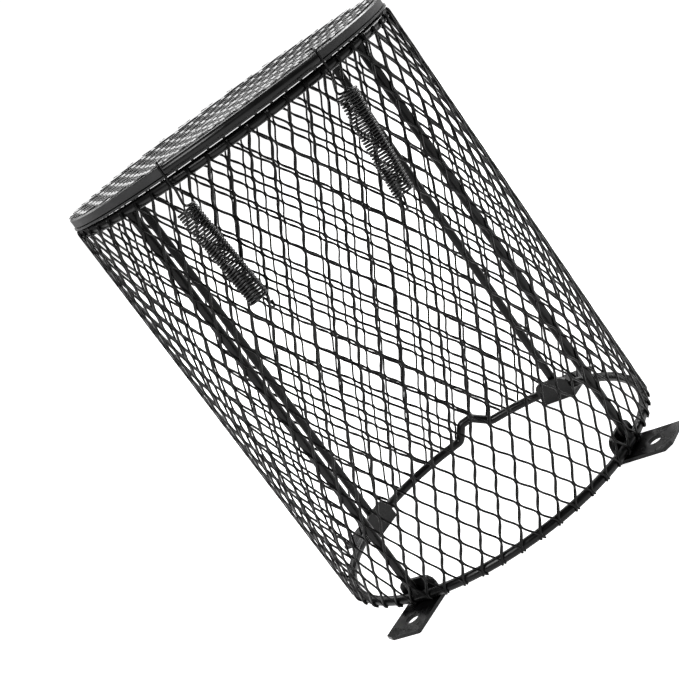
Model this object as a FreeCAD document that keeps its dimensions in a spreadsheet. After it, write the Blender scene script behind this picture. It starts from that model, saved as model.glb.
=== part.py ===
# Mesh lamp guard: a mesh cylinder on two rod rings and four upright rods, four screw tabs at
# the open end, and a mesh lid that tips open about the rim where two springs hold it down.
# All lengths are millimetres. +Z points from the screw tabs to the lid. The origin is at the
# centre of the plane the four tabs stand on. Azimuths are degrees about Z, 0 along +X; the
# springs are at the front, along -Y.
import FreeCAD, Part
import math
import os
import Sketcher

doc = FreeCAD.newDocument("lamp_guard")
sizes = doc.addObject("Spreadsheet::Sheet", "sizes")

DRIVING = [
    ("mesh_outer_dia", 120.0),
    ("mesh_thick", 0.8),
    ("mesh_columns", 54),
    ("mesh_rows", 24),
    ("strand_width", 0.85),
    ("knot_half", 1.0),
    ("bend_half", 0.45),
    ("knot_az", -90.0),
    ("hem_drop", 2.2),
    ("hem_rise", 1.3),
    ("ring_rod_dia", 3.2),
    ("ring_spacing", 147.5),
    ("post_dia", 3.0),
    ("post_az", 45.0),
    ("notch_top_az", 82.7),
    ("notch_top_half", 2.1),
    ("notch_left_flank", 3.8),
    ("notch_right_flank", 6.0),
    ("notch_foot", 3.0),
    ("notch_rise", 5.1),
    ("notch_bend", 2.2),
    ("tab_thick", 1.2),
    ("tab_width", 14.4),
    ("tab_reach", 14.4),
    ("tab_chamfer", 2.6),
    ("tab_round", 3.2),
    ("tab_upright", 8.6),
    ("hole_dia", 4.7),
    ("hole_out", 5.0),
    ("hem_room", 0.8),
    ("lid_gap", 0.3),
    ("lid_inset", 0.8),
    ("lip_thick", 0.6),
    ("lip_proud", 0.4),
    ("lip_depth", 3.4),
    ("rim_tall", 3.0),
    ("rim_thick", 1.4),
    ("rim_bevel", 0.35),
    ("lid_pitch", 10.0),
    ("lid_turn", 7.0),
    ("bar_dia", 3.0),
    ("bar_az", -89.0),
    ("bar_half_angle", 25.4),
    ("spring_dia", 6.8),
    ("spring_wire", 0.8),
    ("coil_pitch", 0.95),
    ("coil_gap", 0.35),
    ("low_hook_row", 17),
    ("low_hook_length", 2.5),
    ("top_tail_length", 9.7),
    ("hook_gap_angle", 1.3),
]

# Sizes that follow from the driving ones, so each fit is written once.
DERIVED = [
    ("mesh_outer", "mesh_outer_dia / 2"),
    ("mesh_inner", "mesh_outer - mesh_thick"),
    ("hole_radius", "mesh_outer + hole_out"),
    ("ring_rod", "ring_rod_dia / 2"),
    ("ring_radius", "mesh_inner - ring_rod"),
    ("low_ring_z", "tab_thick + hem_room + ring_rod"),
    ("top_ring_z", "low_ring_z + ring_spacing"),
    ("post_rod", "post_dia / 2"),
    ("tab_back", "sqrt((ring_radius - ring_rod)^2 - (tab_width / 2)^2)"),
    ("tab_front", "mesh_inner - mesh_thick + tab_reach"),
    ("lip_low", "top_ring_z + ring_rod + lid_gap"),
    ("rim_low", "lip_low + lip_thick"),
    ("rim_top", "rim_low + rim_tall"),
    ("rim_outer", "mesh_outer - lid_inset"),
    ("lid_top", "rim_top + mesh_thick"),
    ("bar_rod", "bar_dia / 2"),
    ("bar_radius", "rim_outer + bar_rod"),
    ("bar_z", "rim_low + rim_tall / 2"),
    ("row_pitch", "ring_spacing / mesh_rows"),
    ("hook_knot_z", "low_ring_z + low_hook_row * row_pitch"),
    ("coil_radius", "(spring_dia - spring_wire) / 2"),
    ("coil_axis", "mesh_outer + coil_gap + spring_dia / 2"),
    ("coil_low_z", "hook_knot_z + low_hook_length"),
    ("coil_length", "lip_low - top_tail_length - coil_low_z"),
    ("spring_turns", "round(coil_length / coil_pitch)"),
]

for line, (alias, value) in enumerate(DRIVING, start=1):
    sizes.set("A%d" % line, alias)
    sizes.set("B%d" % line, str(value))
    sizes.setAlias("B%d" % line, alias)
for line, (alias, formula) in enumerate(DERIVED, start=len(DRIVING) + 1):
    sizes.set("A%d" % line, alias)
    sizes.set("B%d" % line, "=" + formula)
    sizes.setAlias("B%d" % line, alias)
doc.recompute()


def number(expression):
    """Value of a spreadsheet expression such as 'sizes.ring_radius * 2'."""
    return float(sizes.evalExpression(expression))


def size(alias):
    return number("sizes." + alias)


def bind(item, **bindings):
    for prop, expression in bindings.items():
        item.setExpression(prop, expression)


def origin_plane(body, role):
    return [plane for plane in body.Origin.OriginFeatures if plane.Role == role][0]


def polygon_sketch(body, name, role, corners):
    """Closed polygon on one of the body's origin planes, each corner bound to the sheet."""
    sketch = body.newObject("Sketcher::SketchObject", name)
    sketch.AttachmentSupport = [(origin_plane(body, role), "")]
    sketch.MapMode = "FlatFace"
    points = [FreeCAD.Vector(number(x), number(y), 0) for x, y in corners]
    count = len(points)
    for i in range(count):
        sketch.addGeometry(Part.LineSegment(points[i], points[(i + 1) % count]))
    for i in range(count):
        sketch.addConstraint(Sketcher.Constraint("Coincident", i, 2, (i + 1) % count, 1))
    for i, (x, y) in enumerate(corners):
        for axis, expression in (("DistanceX", x), ("DistanceY", y)):
            rule = Sketcher.Constraint(axis, -1, 1, i, 1, number(expression))
            index = sketch.addConstraint(rule)
            sketch.setExpression("Constraints[%d]" % index, expression)
    return sketch


def circle_sketch(body, name, role, x, y, diameter):
    sketch = body.newObject("Sketcher::SketchObject", name)
    sketch.AttachmentSupport = [(origin_plane(body, role), "")]
    sketch.MapMode = "FlatFace"
    centre = FreeCAD.Vector(number(x), 0, 0)
    normal = FreeCAD.Vector(0, 0, 1)
    sketch.addGeometry(Part.Circle(centre, normal, number(diameter) / 2))
    sketch.addConstraint(Sketcher.Constraint("PointOnObject", 0, 3, -1))
    reach = sketch.addConstraint(Sketcher.Constraint("DistanceX", -1, 1, 0, 3, number(x)))
    sketch.setExpression("Constraints[%d]" % reach, x)
    width = sketch.addConstraint(Sketcher.Constraint("Diameter", 0, number(diameter)))
    sketch.setExpression("Constraints[%d]" % width, diameter)
    return sketch


def new_body(label):
    body = doc.addObject("PartDesign::Body", label)
    body.Label = label
    return body


def turned_ring(label, corners):
    """Ring turned about Z from a profile given as radius and height corners."""
    body = new_body(label)
    sketch = polygon_sketch(body, label + "_profile", "XZ_Plane", corners)
    turn = body.newObject("PartDesign::Revolution", label + "_turn")
    turn.Profile = sketch
    turn.ReferenceAxis = (sketch, ["V_Axis"])
    turn.Angle = 360
    sketch.Visibility = False
    return body


def torus(label, radius, tube, height):
    ring = doc.addObject("Part::Torus", label)
    ring.Label = label
    bind(ring, Radius1=radius, Radius2=tube)
    ring.setExpression("Placement.Base.z", height)
    return ring


def cylindrical(radius, azimuth, height):
    angle = math.radians(azimuth)
    return FreeCAD.Vector(radius * math.cos(angle), radius * math.sin(angle), height)


def shaped(label, shape):
    item = doc.addObject("Part::Feature", label)
    item.Label = label
    item.Shape = shape
    return item


def bent_wire(points, bend, radius):
    """Round wire of straight runs joined by tangent arcs of at most the given bend radius."""
    edges = []
    start = points[0]
    for before, corner, after in zip(points, points[1:], points[2:]):
        back = (before - corner).normalize()
        onward = (after - corner).normalize()
        half_turn = back.getAngle(onward) / 2
        shortest = min((before - corner).Length, (after - corner).Length)
        reach = min(bend / math.tan(half_turn), 0.45 * shortest)
        arc_radius = reach * math.tan(half_turn)
        middle = corner + (back + onward).normalize() * (math.hypot(arc_radius, reach) - arc_radius)
        arc_start = corner + back * reach
        arc_end = corner + onward * reach
        edges.append(Part.LineSegment(start, arc_start).toShape())
        edges.append(Part.Arc(arc_start, middle, arc_end).toShape())
        start = arc_end
    edges.append(Part.LineSegment(start, points[-1]).toShape())
    way = (points[1] - points[0]).normalize()
    section = Part.Wire([Part.Circle(points[0], way, radius).toShape()])
    return Part.Wire(edges).makePipeShell([section], True, False)


NODES = []

# Open-end ring. It is a round rod bent to a circle, with one hump that lets a lamp cable pass.
ring_radius = size("ring_radius")
low_ring_z = size("low_ring_z")
hump_left_az = size("notch_top_az") + size("notch_top_half") + size("notch_left_flank")
hump_right_az = size("notch_top_az") - size("notch_top_half") - size("notch_right_flank")
start_az = hump_left_az + size("notch_foot")
end_az = hump_right_az - size("notch_foot")
HUMP_CORNERS = [
    (hump_left_az, 0.0),
    (size("notch_top_az") + size("notch_top_half"), size("notch_rise")),
    (size("notch_top_az") - size("notch_top_half"), size("notch_rise")),
    (hump_right_az, 0.0),
]
arc_part = Part.makeTorus(ring_radius, size("ring_rod"), FreeCAD.Vector(0, 0, 0),
                          FreeCAD.Vector(0, 0, 1), 0, 360, 360 - (start_az - end_az))
arc_part.rotate(FreeCAD.Vector(0, 0, 0), FreeCAD.Vector(0, 0, 1), start_az)
arc_part.translate(FreeCAD.Vector(0, 0, low_ring_z))
# The feet of the hump leave the circle along its tangents, so the two parts join face to face.
foot_reach = ring_radius * math.tan(math.radians(size("notch_foot")))
start_point = cylindrical(ring_radius, start_az, low_ring_z)
end_point = cylindrical(ring_radius, end_az, low_ring_z)
start_way = cylindrical(1, start_az - 90, 0)
end_way = cylindrical(1, end_az + 90, 0)
hump_points = [start_point, start_point + start_way * foot_reach]
hump_points += [cylindrical(ring_radius, azimuth, low_ring_z + lift)
                for azimuth, lift in HUMP_CORNERS[1:-1]]
hump_points += [end_point + end_way * foot_reach, end_point]
hump = bent_wire(hump_points, size("notch_bend"), size("ring_rod"))
shaped("mounting_ring", arc_part.fuse(hump).removeSplitter())
NODES.append("mounting_ring")

# Ring under the lid.
torus("top_ring", "sizes.ring_radius", "sizes.ring_rod", "sizes.top_ring_z")
NODES.append("top_ring")

# Four upright posts, saddled onto both rings.
CORNERS = [("front_left", -3), ("front_right", -1), ("rear_right", 1), ("rear_left", 3)]
for place, steps in CORNERS:
    label = "post_" + place
    rod = doc.addObject("Part::Cylinder", label + "_rod")
    bind(rod, Radius="sizes.post_rod", Height="sizes.ring_spacing")
    turn = "%d * sizes.post_az" % steps
    rod.setExpression("Placement.Base.x", "sizes.ring_radius * cos(%s * 1deg)" % turn)
    rod.setExpression("Placement.Base.y", "sizes.ring_radius * sin(%s * 1deg)" % turn)
    rod.setExpression("Placement.Base.z", "sizes.low_ring_z")
    low_seat = torus(label + "_low_seat", "sizes.ring_radius", "sizes.ring_rod",
                     "sizes.low_ring_z")
    top_seat = torus(label + "_top_seat", "sizes.ring_radius", "sizes.ring_rod",
                     "sizes.top_ring_z")
    low_cut = doc.addObject("Part::Cut", label + "_low_cut")
    low_cut.Base = rod
    low_cut.Tool = low_seat
    post = doc.addObject("Part::Cut", label)
    post.Label = label
    post.Base = low_cut
    post.Tool = top_seat
    NODES.append(label)

# Four screw tabs, each a bent sheet: a flat leaf with one hole that points outwards, and an
# upright leaf against the inside of the open-end ring.
for place, steps in CORNERS:
    label = "tab_" + place
    body = new_body(label)
    half = "sizes.tab_width / 2"
    cut = "sizes.tab_chamfer"
    flat = polygon_sketch(body, label + "_flat_outline", "XY_Plane", [
        ("sizes.tab_back - sizes.tab_thick", "-(%s)" % half),
        ("sizes.tab_front - 0.6 * " + cut, "-(%s)" % half),
        ("sizes.tab_front", "-(%s) + 1.2 * %s" % (half, cut)),
        ("sizes.tab_front - 0.5", "%s - 0.5" % half),
        ("sizes.tab_front - 1.0", half),
        ("sizes.tab_back - sizes.tab_thick", half),
    ])
    leaf = body.newObject("PartDesign::Pad", label + "_flat")
    leaf.Profile = flat
    leaf.setExpression("Length", "sizes.tab_thick")
    ear = "sizes.tab_round"
    tall = "sizes.tab_upright"
    upright = polygon_sketch(body, label + "_upright_outline", "YZ_Plane", [
        ("-(%s)" % half, "sizes.tab_thick / 2"),
        (half, "sizes.tab_thick / 2"),
        (half, "%s - %s" % (tall, ear)),
        ("%s - 0.13 * %s" % (half, ear), "%s - 0.5 * %s" % (tall, ear)),
        ("%s - 0.5 * %s" % (half, ear), "%s - 0.13 * %s" % (tall, ear)),
        ("%s - %s" % (half, ear), tall),
        ("-(%s) + %s" % (half, ear), tall),
        ("-(%s) + 0.5 * %s" % (half, ear), "%s - 0.13 * %s" % (tall, ear)),
        ("-(%s) + 0.13 * %s" % (half, ear), "%s - 0.5 * %s" % (tall, ear)),
        ("-(%s)" % half, "%s - %s" % (tall, ear)),
    ])
    upright.setExpression("AttachmentOffset.Base.z", "sizes.tab_back - sizes.tab_thick")
    wall = body.newObject("PartDesign::Pad", label + "_upright")
    wall.Profile = upright
    wall.setExpression("Length", "sizes.tab_thick")
    hole_sketch = circle_sketch(body, label + "_hole_outline", "XY_Plane",
                                "sizes.hole_radius", "0", "sizes.hole_dia")
    hole = body.newObject("PartDesign::Pocket", label + "_hole")
    hole.Profile = hole_sketch
    hole.Type = "ThroughAll"
    hole.Midplane = True
    body.setExpression("Placement.Rotation.Angle", "(360 + %d * sizes.post_az) * 1deg" % steps)
    for outline in (flat, upright, hole_sketch):
        outline.Visibility = False
    NODES.append(label)


def zigzag(reach, pitch, first, last, start_side):
    """Both edges of one zigzag strand between rows first and last, as (across, along) chains.

    The strand swings between -reach and +reach. It meets its neighbours along short flats of
    half-length knot_half, one on each row."""
    strand = size("strand_width")
    knot = size("knot_half")
    bend = size("bend_half")
    right = []
    left = []
    side = start_side
    for row in range(first, last + 1):
        along = row * pitch
        outer = [(side * reach, along - knot), (side * reach, along + knot)]
        inner = [(side * (reach - strand), along - bend), (side * (reach - strand), along + bend)]
        if side > 0:
            right += outer
            left += inner
        else:
            left += outer
            right += inner
        side = -side
    return right, left


def point_at(a, b, along):
    """Point of line a-b at the given distance along the strand."""
    share = (along - a[1]) / (b[1] - a[1])
    return (a[0] + share * (b[0] - a[0]), along)


def trimmed(points, low, high):
    """Cuts a chain of (across, along) points to low <= along <= high."""
    kept = []
    for a, b in zip(points, points[1:]):
        if b[1] <= low or a[1] >= high:
            continue
        start = a if a[1] >= low else point_at(a, b, low)
        end = b if b[1] <= high else point_at(a, b, high)
        if not kept or kept[-1] != start:
            kept.append(start)
        kept.append(end)
    return kept


def notch_lift(azimuth):
    """Height of the ring's hump above the plain ring at an azimuth."""
    for (left, low), (right, high) in zip(HUMP_CORNERS, HUMP_CORNERS[1:]):
        if right <= azimuth <= left:
            return low + (high - low) * (left - azimuth) / (left - right)
    return 0.0


# Mesh wall: expanded metal, opened so that its long diamonds run along Z, and rolled. Each of
# its columns of diamonds is a flat strip tangent to the wall, and meets the next at the knots.
columns = int(round(size("mesh_columns")))
rows = int(round(size("mesh_rows")))
mesh_inner = size("mesh_inner")
mesh_thick = size("mesh_thick")
strand_reach = mesh_inner * math.tan(math.pi / columns) / 2


def diamond_column(low, high):
    """One flat column of diamonds: two mirrored strands joined at the knots of the even rows."""
    halves = []
    for side in (-1, 1):
        right, left = zigzag(strand_reach, size("row_pitch"), -2, rows + 2, -side)
        outline = trimmed(right, low, high) + list(reversed(trimmed(left, low, high)))
        corners = [FreeCAD.Vector(mesh_inner, across + side * strand_reach, low_ring_z + along)
                   for across, along in outline]
        face = Part.Face(Part.makePolygon(corners + corners[:1]))
        halves.append(face.extrude(FreeCAD.Vector(mesh_thick, 0, 0)))
    return halves[0].fuse(halves[1]).removeSplitter()


wall_high = size("ring_spacing") + size("hem_rise")
plain_column = diamond_column(-size("hem_drop"), wall_high)
wall_columns = []
for column in range(columns):
    azimuth = size("knot_az") + 360.0 * column / columns
    lift = notch_lift(azimuth % 360)
    strip = plain_column.copy() if lift == 0 else diamond_column(lift - size("hem_drop"), wall_high)
    strip.rotate(FreeCAD.Vector(0, 0, 0), FreeCAD.Vector(0, 0, 1), azimuth)
    wall_columns.append(strip)
shaped("wall_mesh", Part.makeCompound(wall_columns))
NODES.append("wall_mesh")

# Lid rim: a bar ring on edge, with a thinner ring under it that stands proud as a lip.
bevel = "sizes.rim_bevel"
inner = "sizes.rim_outer - sizes.rim_thick"
turned_ring("lid_rim", [
    (inner, "sizes.rim_low"),
    ("sizes.rim_outer - " + bevel, "sizes.rim_low"),
    ("sizes.rim_outer", "sizes.rim_low + " + bevel),
    ("sizes.rim_outer", "sizes.rim_top - " + bevel),
    ("sizes.rim_outer - " + bevel, "sizes.rim_top"),
    (inner, "sizes.rim_top"),
])
NODES.append("lid_rim")
lip_outer = "sizes.rim_outer + sizes.lip_proud"
turned_ring("lid_lip", [
    (lip_outer + " - sizes.lip_depth", "sizes.lip_low"),
    (lip_outer, "sizes.lip_low"),
    (lip_outer, "sizes.rim_low"),
    (lip_outer + " - sizes.lip_depth", "sizes.rim_low"),
])
NODES.append("lid_lip")

# Lid mesh: the same kind of expanded metal, flat, cut to a disc, turned a little off the
# line of the springs and fixed on top of the rim.
row_pitch = size("row_pitch")
lid_reach = size("lid_pitch") / 4
lid_radius = size("rim_outer") - size("rim_bevel")
half_rows = int(math.ceil(lid_radius / row_pitch)) + 1
half_strands = int(math.ceil(lid_radius / (2 * lid_reach))) + 1
lid_strips = []
for strand in range(-half_strands, half_strands + 1):
    start_side = 1 if strand % 2 else -1
    right, left = zigzag(lid_reach, row_pitch, 0, 2 * half_rows, start_side)
    outline = right + list(reversed(left))
    centre = FreeCAD.Vector(2 * strand * lid_reach, -half_rows * row_pitch, size("rim_top"))
    corners = [centre + FreeCAD.Vector(across, along, 0) for across, along in outline]
    face = Part.Face(Part.makePolygon(corners + corners[:1]))
    lid_strips.append(face.extrude(FreeCAD.Vector(0, 0, mesh_thick)))
sheet = lid_strips[0].multiFuse(lid_strips[1:]).removeSplitter()
disc = Part.makeCylinder(lid_radius, mesh_thick, FreeCAD.Vector(0, 0, size("rim_top")))
cut_sheet = sheet.common(disc)
cut_sheet.rotate(FreeCAD.Vector(0, 0, 0), FreeCAD.Vector(0, 0, 1), size("lid_turn"))
lid_solids = sorted(cut_sheet.Solids, key=lambda solid: solid.Volume)
shaped("lid_mesh", lid_solids[-1])
NODES.append("lid_mesh")

# Round bar along the outside of the rim between the two spring hooks, the lid's fulcrum.
bar = doc.addObject("Part::Torus", "hinge_bar")
bar.Label = "hinge_bar"
bind(bar, Radius1="sizes.bar_radius", Radius2="sizes.bar_rod", Angle3="2 * sizes.bar_half_angle")
bar.setExpression("Placement.Base.z", "sizes.bar_z")
bar.setExpression("Placement.Rotation.Angle",
                  "(360 + sizes.bar_az - sizes.bar_half_angle) * 1deg")
NODES.append("hinge_bar")


def extension_spring(label, low_az, top_az):
    """Close-wound spring with a hook under a wall knot and a long hook over the lid rim."""
    wire = size("spring_wire") / 2
    radius = size("coil_radius")
    axis = size("coil_axis")
    length = size("coil_length")
    foot = cylindrical(axis, low_az, size("coil_low_z"))
    slope = (top_az - low_az) * length / (size("rim_top") - size("coil_low_z"))
    head = cylindrical(axis, low_az + slope, size("coil_low_z") + length)
    way = (head - foot).normalize()
    mid_az = math.radians(low_az + slope / 2)
    outward = FreeCAD.Vector(math.cos(mid_az), math.sin(mid_az), 0)
    outward = (outward - way * outward.dot(way)).normalize()
    side = way.cross(outward)
    frame = FreeCAD.Matrix(outward.x, side.x, way.x, foot.x,
                           outward.y, side.y, way.y, foot.y,
                           outward.z, side.z, way.z, foot.z,
                           0, 0, 0, 1)
    place = FreeCAD.Placement(frame)
    turns = size("spring_turns")
    helix = Part.makeHelix(length / turns, length, radius)
    helix.rotate(FreeCAD.Vector(0, 0, 0), FreeCAD.Vector(0, 0, 1), 180)
    climb = FreeCAD.Vector(0, -2 * math.pi * radius, length / turns).normalize()
    low_end = FreeCAD.Vector(-radius, 0, 0)
    top_end = FreeCAD.Vector(-radius, 0, length)

    def local(radial, azimuth, height):
        return place.inverse().multVec(cylindrical(radial, azimuth, height))

    knot = size("hook_knot_z")
    wall = size("mesh_outer")
    low_hook = [
        low_end,
        low_end - climb * 4 * wire,
        FreeCAD.Vector(-radius, 0.9, -5.5 * wire),
        local(wall + 0.6, low_az, knot - 0.7),
        local(wall + 0.1, low_az, knot - 2.3),
        local(wall - mesh_thick - 1.0, low_az, knot - 2.3),
        local(wall - mesh_thick - 1.7, low_az, knot - 0.9),
    ]
    rim = size("rim_outer")
    over = size("lid_top") + wire + 0.15
    climbing = wall + wire + 0.35
    top_hook = [
        top_end,
        top_end + climb * 4 * wire,
        FreeCAD.Vector(-radius, -0.9, length + 5.5 * wire),
        local(climbing, top_az, size("lip_low") - 3.0),
        local(climbing - 0.15, top_az, over + 0.1),
        local(rim - 3.0, top_az, over),
    ]
    hooks = [bent_wire(low_hook, 1.0, wire), bent_wire(top_hook, 1.0, wire)]
    section = Part.Wire([Part.Circle(low_end, climb, wire).toShape()])
    coil = Part.Wire(helix.Edges).makePipeShell([section], True, True)
    spring = coil.fuse(hooks)
    item = shaped(label, spring)
    item.Placement = place
    return item


bar_az = size("bar_az")
bar_half = size("bar_half_angle")
hook_step = size("hook_gap_angle")
column_step = 360.0 / columns
knot_az = size("knot_az")
extension_spring("spring_left", knot_az - 3.5 * column_step, bar_az - bar_half - hook_step)
extension_spring("spring_right", knot_az + 3.5 * column_step, bar_az + bar_half + hook_step)
NODES += ["spring_left", "spring_right"]

doc.recompute()

problems = []
for item in doc.Objects:
    if "Invalid" in item.State or "Error" in item.State:
        problems.append("%s is %s" % (item.Name, item.State))
os.makedirs("parts", exist_ok=True)
for label in NODES:
    shape = doc.getObjectsByLabel(label)[0].Shape
    if shape.isNull() or not shape.Solids:
        problems.append(label + " has no solid")
    elif not shape.isValid():
        problems.append(label + " is not valid")
if problems:
    raise RuntimeError("; ".join(problems))
for label in NODES:
    shape = doc.getObjectsByLabel(label)[0].Shape
    shape.exportStep("parts/%s.step" % label)
    box = shape.BoundBox
    print("%-18s solids %2d faces %4d volume %9.1f  x %.1f..%.1f  y %.1f..%.1f  z %.1f..%.1f" % (
        label, len(shape.Solids), len(shape.Faces), shape.Volume,
        box.XMin, box.XMax, box.YMin, box.YMax, box.ZMin, box.ZMax))
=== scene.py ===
"""Looks of the mesh lamp guard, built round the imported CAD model. Metres, in the CAD frame."""

import math
import random

import bpy
from mathutils import Matrix, Vector


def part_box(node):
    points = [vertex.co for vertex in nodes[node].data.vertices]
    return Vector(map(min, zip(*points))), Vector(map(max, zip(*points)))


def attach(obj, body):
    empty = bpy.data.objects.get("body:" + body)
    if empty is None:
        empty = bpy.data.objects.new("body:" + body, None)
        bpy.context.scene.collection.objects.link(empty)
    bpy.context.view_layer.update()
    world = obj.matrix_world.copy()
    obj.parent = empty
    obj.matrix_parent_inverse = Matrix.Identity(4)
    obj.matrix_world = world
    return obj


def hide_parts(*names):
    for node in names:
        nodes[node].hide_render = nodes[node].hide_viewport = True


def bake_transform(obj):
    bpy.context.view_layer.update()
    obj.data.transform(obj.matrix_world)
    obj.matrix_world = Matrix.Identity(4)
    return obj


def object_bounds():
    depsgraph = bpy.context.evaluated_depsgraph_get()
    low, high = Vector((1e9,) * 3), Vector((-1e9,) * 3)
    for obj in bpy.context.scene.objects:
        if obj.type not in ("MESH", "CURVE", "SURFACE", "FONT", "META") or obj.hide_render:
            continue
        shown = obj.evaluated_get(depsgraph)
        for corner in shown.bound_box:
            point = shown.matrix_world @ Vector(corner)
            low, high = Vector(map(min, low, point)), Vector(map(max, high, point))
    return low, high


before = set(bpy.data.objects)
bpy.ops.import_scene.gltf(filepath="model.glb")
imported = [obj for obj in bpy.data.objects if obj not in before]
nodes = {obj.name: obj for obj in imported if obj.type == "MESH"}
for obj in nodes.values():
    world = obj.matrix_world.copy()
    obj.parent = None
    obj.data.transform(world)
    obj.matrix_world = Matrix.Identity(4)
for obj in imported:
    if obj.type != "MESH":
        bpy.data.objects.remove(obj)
cad_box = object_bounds()
dice = random.Random(11)
MM = 0.001

# Places read from the frame.
ring_low, ring_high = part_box("top_ring")
lid_low, lid_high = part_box("lid_mesh")
rim_low, rim_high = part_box("lid_rim")
lip_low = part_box("lid_lip")[0]
ROD = (ring_high.z - ring_low.z) / 2
TOP_RING_Z = (ring_high.z + ring_low.z) / 2
RING_RADIUS = (ring_high.x - ring_low.x) / 2 - ROD
LOW_RING_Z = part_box("mounting_ring")[0].z + ROD
RING_SPACING = TOP_RING_Z - LOW_RING_Z
WALL_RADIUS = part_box("wall_mesh")[1].y
RIM_RADIUS = (rim_high.x - rim_low.x) / 2
LID_Z = (lid_low.z + lid_high.z) / 2

# The sheet: columns of diamonds round the wall, rows of knots up it, and the mounting ring's
# hump as (azimuth, rise) corners. Azimuths are degrees about Z, and the springs are at FRONT.
FRONT = -90
COLUMNS = 54
ROWS = 24
ROW_PITCH = RING_SPACING / ROWS
HUMP = [(88.6, 0.0), (84.8, 5.1 * MM), (80.6, 5.1 * MM), (74.6, 0.0)]
KNOT_HALF = 0.10                    # share of a row that half a knot's flat takes
KNOT_JITTER = 0.10 * MM
STEPS = [0.0, 0.07, 0.14, 0.21, 0.30, 0.42, 0.5, 0.58, 0.70, 0.79, 0.86, 0.93]
EASE = 0.45                         # how far a strand is from straight between its knots

# Half widths and half thicknesses of the wall's and the lid's strands.
THIN_HALF = 0.32 * MM
WIDE_HALF = 0.49 * MM
STRAND_DEEP = 0.30 * MM
KNOT_OVERLAP = 0.04 * MM
LID_THIN = 0.24 * MM
LID_WIDE = 0.44 * MM
LID_DEEP = 0.14 * MM

# The wall: its middle lies just inside the sheet's outer face, and its cut ends go round the rods.
WALL_MID = WALL_RADIUS - 0.45 * MM
WALL_TWIST = math.radians(20)
LEAN_TWIST = math.radians(28)       # taken off the twist where a strand leans one way
LOW_END = (1.3, 2.1)                # how far the cut ends reach past the rings' centres, in mm
TOP_END = (0.9, 1.35)

# The lid's sheet.
LID_SAG = 1.5 * MM
LID_TURN = math.radians(7)
LID_REACH = 5.0 * MM / 2            # half the distance between columns of knots
LID_EDGE = 0.3 * MM                 # how far the cut ends stay inside the rim's outer face
KNOT_TILT = 0.28                    # slope of the knots' flats along the sheet
UNWRAPPED = 10000                   # more columns of knots than any flat sheet has

# The springs: the coil, and the hooks' corners in mm.
WIRE = 0.4 * MM
WIRE_SIDES = 8
COIL_RADIUS = 3.0 * MM
COIL_TURNS = 34
TURN_POINTS = 18
COIL_LENGTH = 32.7 * MM
COIL_LOOSE = 0.1 * MM
COIL_AXIS = 63.75 * MM
HOOK_KNOT_Z = LOW_RING_Z + 17 * ROW_PITCH
COIL_LOW_Z = HOOK_KNOT_Z + 2.5 * MM
CURVE_STEPS = 5
LOW_HOOK = [(-2.4, -0.6), (-2.2, -1.8), (-1.2, -2.4), (0.1, -2.2), (0.75, -0.9)]
LOW_TURN_IN = [(1.0, -1.5), (0.85, -0.5)]
TOP_TURN_OUT = [(-0.85, 0.5), (-1.0, 1.6)]
TAIL_BEND_Z = lip_low.z - 4 * MM    # where the long tail starts to follow the lid
TAIL_SWING = 0.93                   # share of the way round that the tail has gone by then
TAIL_RADIUS = WALL_RADIUS + WIRE + 0.3 * MM
HOOK_OVER_Z = lid_high.z + WIRE + 0.1 * MM

# The bar along the rim, which the springs' top hooks stand beside.
BAR_AZ = -89.0
BAR_HALF = 25.4
HOOK_GAP = 1.3
HOOK_AZ = BAR_HALF + HOOK_GAP
HOOK_COLUMNS = 3.5 * 360.0 / COLUMNS

EDGE_EASE = 0.2 * MM
EDGE_ANGLE = math.radians(40)
SMOOTH_ANGLE = 50
WIRE_SMOOTH_ANGLE = 80

# The camera stands near the front and a little above, rolled on its axis.
CAMERA_AZIMUTH = math.radians(-92.225)
CAMERA_DISTANCE = 0.485332
CAMERA_HEIGHT = 0.181613
CAMERA_ROLL = -0.631
CAMERA_LENS = 80.9
AIM_RIGHT = -0.013519
AIM_HEIGHT = 0.074119

FLOOR_HALF = 6.0
FLOOR_DROP = 0.2 * MM
FLOOR_GLOW = (0.3, 0.95)            # strength as light, and as the camera sees it
WORLD_GLOW = (0.16, 1.05)
LIGHTS = [                          # name, place, aim, size and power
    ("key", (-0.5, -0.7, 0.9), (0, 0, 0.08), (0.5, 0.5), 12),
    ("rim", (0.7, 0.5, 0.7), (0, 0, 0.08), (0.4, 0.6), 8),
    ("back", (-0.1, 0.95, 0.75), (0, 0, 0.12), (1.3, 0.5), 8),
]


def polar(radius, azimuth, height):
    angle = math.radians(azimuth)
    return Vector((radius * math.cos(angle), radius * math.sin(angle), height))


def mix(a, b, share):
    return a + (b - a) * share


def smooth(share):
    share = min(1.0, max(0.0, share))
    return share * share * (3 - 2 * share)


# Materials.
def noise(tree, place, scale, detail):
    texture = tree.nodes.new("ShaderNodeTexNoise")
    texture.inputs["Scale"].default_value = scale
    texture.inputs["Detail"].default_value = detail
    tree.links.new(place.outputs["Object"], texture.inputs["Vector"])
    return texture


def grey(value, blue):
    return (value, value, blue, 1)


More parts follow.
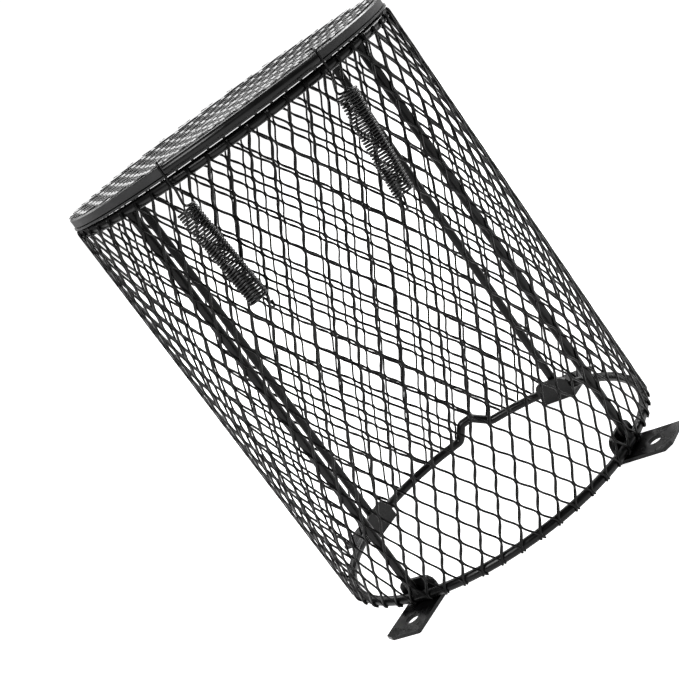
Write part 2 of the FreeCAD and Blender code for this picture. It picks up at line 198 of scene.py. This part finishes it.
def coat(name, base, roughness, shine, grain, bump, coat_weight=0.0):
    """Black powder coat: a fine orange-peel bump, slight unevenness in tone and in gloss."""
    material = bpy.data.materials.new(name)
    material.use_nodes = True
    tree = material.node_tree
    shader = tree.nodes["Principled BSDF"]
    shader.inputs["Metallic"].default_value = 0.0
    shader.inputs["Specular IOR Level"].default_value = shine
    shader.inputs["Coat Weight"].default_value = coat_weight
    shader.inputs["Coat Roughness"].default_value = 0.18
    place = tree.nodes.new("ShaderNodeTexCoord")
    peel = noise(tree, place, grain, 3.0)
    patches = noise(tree, place, grain / 12, 4.0)
    tone = tree.nodes.new("ShaderNodeValToRGB")
    dark, light = tone.color_ramp.elements
    dark.position = 0.3
    dark.color = grey(base * 0.75, base * 0.78)
    light.position = 0.75
    light.color = grey(base * 1.5, base * 1.55)
    tree.links.new(patches.outputs["Fac"], tone.inputs["Fac"])
    tree.links.new(tone.outputs["Color"], shader.inputs["Base Color"])
    gloss = tree.nodes.new("ShaderNodeMapRange")
    gloss.inputs["From Min"].default_value = 0.3
    gloss.inputs["From Max"].default_value = 0.7
    gloss.inputs["To Min"].default_value = roughness - 0.07
    gloss.inputs["To Max"].default_value = roughness + 0.09
    tree.links.new(patches.outputs["Fac"], gloss.inputs["Value"])
    tree.links.new(gloss.outputs["Result"], shader.inputs["Roughness"])
    relief = tree.nodes.new("ShaderNodeBump")
    relief.inputs["Strength"].default_value = bump
    relief.inputs["Distance"].default_value = 0.05 * MM
    tree.links.new(peel.outputs["Fac"], relief.inputs["Height"])
    tree.links.new(relief.outputs["Normal"], shader.inputs["Normal"])
    return material


FRAME_COAT = coat("frame_coat", 0.002, 0.27, 0.26, 2600, 0.25)
MESH_COAT = coat("mesh_coat", 0.0015, 0.25, 0.22, 3200, 0.20)
SPRING_COAT = coat("spring_coat", 0.002, 0.2, 0.35, 3600, 0.10)
LID_COAT = coat("lid_coat", 0.002, 0.2, 0.5, 3200, 0.05)
# Rim and lip: the same black powder coat with a rougher, glossier finish, plus a base four times
# lighter than the frame's, which is painted sheen for the grey sheen on the rim band.
RIM_PAINTED_SHEEN_COAT = coat("rim_painted_sheen_coat", 0.008, 0.34, 0.6, 1500, 0.6, 0.1)


def paint(obj, material):
    obj.data.materials.clear()
    obj.data.materials.append(material)


def dress(obj, material):
    paint(obj, material)
    return obj


# Mesh making.
def new_piece(name, verts, faces, smooth_angle=SMOOTH_ANGLE):
    mesh = bpy.data.meshes.new(name)
    mesh.from_pydata(verts, [], faces)
    mesh.update()
    obj = bpy.data.objects.new(name, mesh)
    bpy.context.scene.collection.objects.link(obj)
    mesh.polygons.foreach_set("use_smooth", [True] * len(mesh.polygons))
    mesh.set_sharp_from_angle(angle=math.radians(smooth_angle))
    return obj


class Builder:
    """Collects swept bars into one mesh."""

    def __init__(self):
        self.verts = []
        self.faces = []

    def sweep(self, sections):
        """Closed bar through equal-sized rings of points, capped at both ends."""
        count = len(sections[0])
        first = len(self.verts)
        for ring in sections:
            self.verts += [tuple(p) for p in ring]
        for i in range(len(sections) - 1):
            for j in range(count):
                a = first + i * count + j
                b = first + i * count + (j + 1) % count
                self.faces.append((a, b, b + count, a + count))
        self.faces.append(tuple(range(first + count - 1, first - 1, -1)))
        last = first + (len(sections) - 1) * count
        self.faces.append(tuple(range(last, last + count)))

    def piece(self, name, smooth_angle=SMOOTH_ANGLE):
        return new_piece(name, self.verts, self.faces, smooth_angle)


FLAT_BAR = [(1.0, 0.45), (0.62, 1.0), (-0.62, 1.0), (-1.0, 0.45),
            (-1.0, -0.45), (-0.62, -1.0), (0.62, -1.0), (1.0, -0.45)]


def bar_section(centre, tangent, normal, half_width, half_thick, twist):
    """Ring of points of a flat bar with eased edges, turned by twist about its own line."""
    tangent = tangent.normalized()
    normal = (normal - tangent * normal.dot(tangent)).normalized()
    across = tangent.cross(normal)
    wide = across * math.cos(twist) + normal * math.sin(twist)
    deep = normal * math.cos(twist) - across * math.sin(twist)
    return [centre + wide * (x * half_width) + deep * (y * half_thick) for x, y in FLAT_BAR]


def round_section(centre, tangent, normal, radius, sides):
    tangent = tangent.normalized()
    normal = (normal - tangent * normal.dot(tangent)).normalized()
    across = tangent.cross(normal)
    ring = []
    for i in range(sides):
        turn = 2 * math.pi * i / sides
        ring.append(centre + across * (radius * math.cos(turn)) + normal * (radius * math.sin(turn)))
    return ring


def tangents(points):
    result = []
    for i in range(len(points)):
        before = points[max(0, i - 1)]
        after = points[min(len(points) - 1, i + 1)]
        result.append((after - before).normalized())
    return result


# Expanded metal.
def knot_jitter(columns, rows, size):
    return {(c, r): (dice.uniform(-size, size), dice.uniform(-size, size))
            for c in range(columns) for r in range(rows)}


def strand_line(index, reach, first_row, last_row, jitter, half_width, wrap):
    """Centre line of one zigzag strand in sheet coordinates, as (across, along, lean).

    The strand runs between knot columns index and index + 1, which are two reaches apart. Lean
    is 0 at a knot and up to 1 or -1 between knots, with the direction that the strand leans."""
    line = []

    def place(row):
        column = index if (row + index) % 2 == 0 else index + 1
        side = 1 if column == index else -1
        dx, dy = jitter.get((column % wrap, row), (0.0, 0.0))
        return column * 2 * reach + side * half_width + dx, row * ROW_PITCH + dy

    for row in range(first_row, last_row):
        x0, y0 = place(row)
        x1, y1 = place(row + 1)
        for step in STEPS:
            share = (step - KNOT_HALF) / (1 - 2 * KNOT_HALF)
            share = min(1.0, max(0.0, share))
            eased = (1 - EASE) * share + EASE * smooth(share)
            lean = math.sin(math.pi * share)
            line.append((mix(x0, x1, eased), mix(y0, y1, step), math.copysign(lean, x1 - x0)))
    x, y = place(last_row)
    line.append((x, y, 0.0))
    return line


def notch_lift(azimuth):
    """Rise of the mounting ring's hump at an azimuth."""
    for (left, low), (right, high) in zip(HUMP, HUMP[1:]):
        if right <= azimuth <= left:
            return mix(low, high, (left - azimuth) / (left - right))
    return 0.0


def wall_point(azimuth, along, lift):
    """Point on the wall, bent round the ring rods past either end, and the outward direction.

    along is the height above the mounting ring's centre."""
    hug = WALL_MID - RING_RADIUS
    outward = polar(1, azimuth, 0)
    if along < lift:
        turn = (lift - along) / hug
        spot = polar(RING_RADIUS + hug * math.cos(turn), azimuth,
                     LOW_RING_Z + lift - hug * math.sin(turn))
        return spot, outward * math.cos(turn) - Vector((0, 0, math.sin(turn)))
    if along > RING_SPACING:
        turn = (along - RING_SPACING) / hug
        spot = polar(RING_RADIUS + hug * math.cos(turn), azimuth,
                     TOP_RING_Z + hug * math.sin(turn))
        return spot, outward * math.cos(turn) + Vector((0, 0, math.sin(turn)))
    return polar(WALL_MID, azimuth, LOW_RING_Z + along), outward


def wall_mesh():
    """The rolled expanded-metal wall: 108 zigzag strands, joined in pairs at the knots."""
    build = Builder()
    reach = math.pi * WALL_MID / COLUMNS / 2
    strands = 2 * COLUMNS
    jitter = knot_jitter(strands, ROWS + 3, KNOT_JITTER)
    for index in range(strands):
        line = strand_line(index, reach, -1, ROWS + 1, jitter, THIN_HALF - KNOT_OVERLAP, strands)
        low_end = -dice.uniform(*LOW_END) * MM
        top_end = RING_SPACING + dice.uniform(*TOP_END) * MM
        points = []
        normals = []
        leans = []
        for across, along, lean in line:
            azimuth = FRONT + math.degrees(across / WALL_MID)
            lift = notch_lift(azimuth % 360)
            if along < low_end + lift or along > top_end:
                continue
            spot, outward = wall_point(azimuth, along, lift)
            points.append(spot)
            normals.append(outward)
            leans.append(lean)
        rings = []
        for spot, tangent, normal, lean in zip(points, tangents(points), normals, leans):
            half = mix(THIN_HALF, WIDE_HALF, max(0.0, lean))
            twist = WALL_TWIST - LEAN_TWIST * lean
            rings.append(bar_section(spot, tangent, normal, half, STRAND_DEEP, twist))
        build.sweep(rings)
    return build.piece("wall_strands")


def lid_point(across, along, radius):
    """Point of the lid's sheet: turned a little on the rim, sagging towards its middle, and
    rising through each knot."""
    x = across * math.cos(LID_TURN) - along * math.sin(LID_TURN)
    y = across * math.sin(LID_TURN) + along * math.cos(LID_TURN)
    share = 1 - (across * across + along * along) / (radius * radius)
    step = (along / ROW_PITCH) % 1.0
    if step > 0.5:
        step -= 1.0
    climb = abs(step)
    if climb >= KNOT_HALF:
        climb = KNOT_HALF * (0.5 - climb) / (0.5 - KNOT_HALF)
    tilt = math.copysign(climb, step) * KNOT_TILT * ROW_PITCH
    return Vector((x, y, LID_Z - LID_SAG * share + tilt))


def lid_mesh():
    """The lid's disc of expanded metal, its strand ends flush with the rim."""
    build = Builder()
    radius = RIM_RADIUS - LID_EDGE
    outside = (radius * 2, 0, 0)    # closes the last run of each strand
    half_rows = int(radius / ROW_PITCH) + 2
    half_strands = int(radius / (2 * LID_REACH)) + 2
    for index in range(-half_strands, half_strands):
        line = strand_line(index, LID_REACH, -half_rows, half_rows, {}, THIN_HALF, UNWRAPPED)
        run = []
        for across, along, lean in line + [outside]:
            if math.hypot(across, along) <= radius:
                run.append((across, along, lean))
                continue
            if len(run) > 3:
                points = [lid_point(x, y, radius) for x, y, _ in run]
                rings = []
                for spot, tangent, (_, _, lean) in zip(points, tangents(points), run):
                    half = mix(LID_THIN, LID_WIDE, (1 - abs(lean)) ** 2)
                    rings.append(bar_section(spot, tangent, Vector((0, 0, 1)), half, LID_DEEP, 0.0))
                build.sweep(rings)
            run = []
    return build.piece("lid_strands")


# Springs.
def curve_through(points, steps):
    """Catmull-Rom curve through the points."""
    result = []
    for i in range(len(points) - 1):
        p0 = points[max(0, i - 1)]
        p1 = points[i]
        p2 = points[i + 1]
        p3 = points[min(len(points) - 1, i + 2)]
        for k in range(steps):
            share = k / steps
            result.append(0.5 * (2 * p1 + (p2 - p0) * share
                                 + (2 * p0 - 5 * p1 + 4 * p2 - p3) * share ** 2
                                 + (3 * p1 - p0 - 3 * p2 + p3) * share ** 3))
    result.append(points[-1])
    return result


def spring(name, low_az, top_az):
    """Extension spring: a hook under a wall knot, the coil, and a long tail hooked over the rim."""
    slope = (top_az - low_az) * COIL_LENGTH / (rim_high.z - COIL_LOW_Z)
    foot = polar(COIL_AXIS, low_az, COIL_LOW_Z)
    head = polar(COIL_AXIS, low_az + slope, COIL_LOW_Z + COIL_LENGTH)
    way = (head - foot).normalized()
    outward = polar(1, low_az + slope / 2, 0)
    outward = (outward - way * outward.dot(way)).normalized()
    side = way.cross(outward)

    def local(x, y, z):
        return foot + outward * x + side * y + way * z

    coil = []
    for i in range(COIL_TURNS * TURN_POINTS + 1):
        share = i / (COIL_TURNS * TURN_POINTS)
        turn = math.pi + 2 * math.pi * COIL_TURNS * share
        loose = COIL_LOOSE * math.sin(math.pi * 5 * share)
        coil.append(local(COIL_RADIUS * math.cos(turn), COIL_RADIUS * math.sin(turn),
                          COIL_LENGTH * share + loose))
    low_hook = [polar(WALL_RADIUS + out * MM, low_az, HOOK_KNOT_Z + up * MM) for out, up in LOW_HOOK]
    low_hook += [local(-COIL_RADIUS, y * MM, z * MM) for y, z in LOW_TURN_IN]
    top_hook = [local(-COIL_RADIUS, y * MM, COIL_LENGTH + z * MM) for y, z in TOP_TURN_OUT]
    top_hook += [
        polar(TAIL_RADIUS, mix(low_az, top_az, TAIL_SWING), TAIL_BEND_Z),
        polar(TAIL_RADIUS, top_az, lip_low.z - 1 * MM),
        polar(TAIL_RADIUS, top_az, rim_low.z + 1.6 * MM),
        polar(TAIL_RADIUS - 0.1 * MM, top_az, rim_high.z + 0.2 * MM),
        polar(TAIL_RADIUS - 0.9 * MM, top_az, HOOK_OVER_Z),
        polar(RIM_RADIUS - 1.2 * MM, top_az, HOOK_OVER_Z + 0.1 * MM),
        polar(RIM_RADIUS - 3.0 * MM, top_az, HOOK_OVER_Z),
    ]
    low_curve = curve_through(low_hook + [coil[0]], CURVE_STEPS)
    top_curve = curve_through([coil[-1]] + top_hook, CURVE_STEPS)
    path = low_curve[:-1] + coil + top_curve[1:]
    rings = []
    reference = outward
    for spot, tangent in zip(path, tangents(path)):
        reference = (reference - tangent * reference.dot(tangent)).normalized()
        rings.append(round_section(spot, tangent, reference, WIRE, WIRE_SIDES))
    build = Builder()
    build.sweep(rings)
    return build.piece(name, WIRE_SMOOTH_ANGLE)


wall = dress(wall_mesh(), MESH_COAT)
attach(wall, "cage")
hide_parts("wall_mesh")

lid = dress(lid_mesh(), LID_COAT)
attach(lid, "lid")
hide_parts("lid_mesh")

for name, sign in (("spring_left", -1), ("spring_right", 1)):
    top_az = BAR_AZ + sign * HOOK_AZ
    wire = spring(name + "_wire", FRONT + sign * HOOK_COLUMNS, top_az)
    dress(wire, SPRING_COAT)
    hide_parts(name)
    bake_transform(wire)


def ease_edges(obj):
    bevel = obj.modifiers.new("eased_edges", "BEVEL")
    bevel.width = EDGE_EASE
    bevel.segments = 2
    bevel.limit_method = "ANGLE"
    bevel.angle_limit = EDGE_ANGLE


# The CAD nodes that stay as they are: rings, posts, tabs, the lid's rim and lip, and the bar.
for name in nodes:
    if name in ("wall_mesh", "lid_mesh", "spring_left", "spring_right"):
        continue
    paint(nodes[name], RIM_PAINTED_SHEEN_COAT if name in ("lid_rim", "lid_lip") else FRAME_COAT)
    if name.startswith("tab_") or name == "lid_rim":
        ease_edges(nodes[name])


# Stage, light and camera.
def glow(tree, socket, strengths):
    """Sets a strength that the camera sees brighter than the light it throws on the object."""
    path = tree.nodes.new("ShaderNodeLightPath")
    strength = tree.nodes.new("ShaderNodeMapRange")
    strength.inputs["To Min"].default_value = strengths[0]
    strength.inputs["To Max"].default_value = strengths[1]
    tree.links.new(path.outputs["Is Camera Ray"], strength.inputs["Value"])
    tree.links.new(strength.outputs["Result"], socket)


def stage():
    size = FLOOR_HALF
    corners = [(-size, -size, 0), (size, -size, 0), (size, size, 0), (-size, size, 0)]
    floor = new_piece("floor", corners, [(0, 1, 2, 3)])
    floor.location.z = cad_box[0].z - FLOOR_DROP
    material = bpy.data.materials.new("floor_white")
    material.use_nodes = True
    shader = material.node_tree.nodes["Principled BSDF"]
    shader.inputs["Base Color"].default_value = (0.9, 0.9, 0.9, 1)
    shader.inputs["Roughness"].default_value = 0.9
    shader.inputs["Emission Color"].default_value = (1, 1, 1, 1)
    glow(material.node_tree, shader.inputs["Emission Strength"], FLOOR_GLOW)
    floor.data.materials.append(material)


def world_light():
    world = bpy.data.worlds.new("studio")
    world.use_nodes = True
    background = world.node_tree.nodes["Background"]
    background.inputs["Color"].default_value = (1, 1, 1, 1)
    glow(world.node_tree, background.inputs["Strength"], WORLD_GLOW)
    bpy.context.scene.world = world


def area_light(name, spot, target, size, power):
    data = bpy.data.lights.new(name, "AREA")
    data.shape = "RECTANGLE"
    data.size = size[0]
    data.size_y = size[1]
    data.energy = power
    obj = bpy.data.objects.new(name, data)
    bpy.context.scene.collection.objects.link(obj)
    obj.location = spot
    obj.rotation_mode = "QUATERNION"
    obj.rotation_quaternion = (Vector(target) - Vector(spot)).to_track_quat("-Z", "Y")


def camera():
    up = Vector((0, 0, 1))
    inward = Vector((-math.cos(CAMERA_AZIMUTH), -math.sin(CAMERA_AZIMUTH), 0))
    spot = Vector((CAMERA_DISTANCE * math.cos(CAMERA_AZIMUTH),
                   CAMERA_DISTANCE * math.sin(CAMERA_AZIMUTH), CAMERA_HEIGHT))
    target = inward.cross(up) * AIM_RIGHT + Vector((0, 0, AIM_HEIGHT))
    forward = (target - spot).normalized()
    right = forward.cross(up).normalized()
    up = right.cross(forward)
    rolled_right = right * math.cos(CAMERA_ROLL) + up * math.sin(CAMERA_ROLL)
    rolled_up = up * math.cos(CAMERA_ROLL) - right * math.sin(CAMERA_ROLL)
    data = bpy.data.cameras.new("camera")
    data.sensor_width = 36
    data.lens = CAMERA_LENS
    data.clip_start = 0.01
    data.clip_end = 50
    obj = bpy.data.objects.new("camera", data)
    bpy.context.scene.collection.objects.link(obj)
    turn = Matrix((rolled_right, rolled_up, -forward)).transposed()
    obj.matrix_world = Matrix.Translation(spot) @ turn.to_4x4()
    bpy.context.scene.camera = obj


stage()
world_light()
bpy.context.scene.view_settings.view_transform = "Standard"
for light in LIGHTS:
    area_light(*light)
camera()
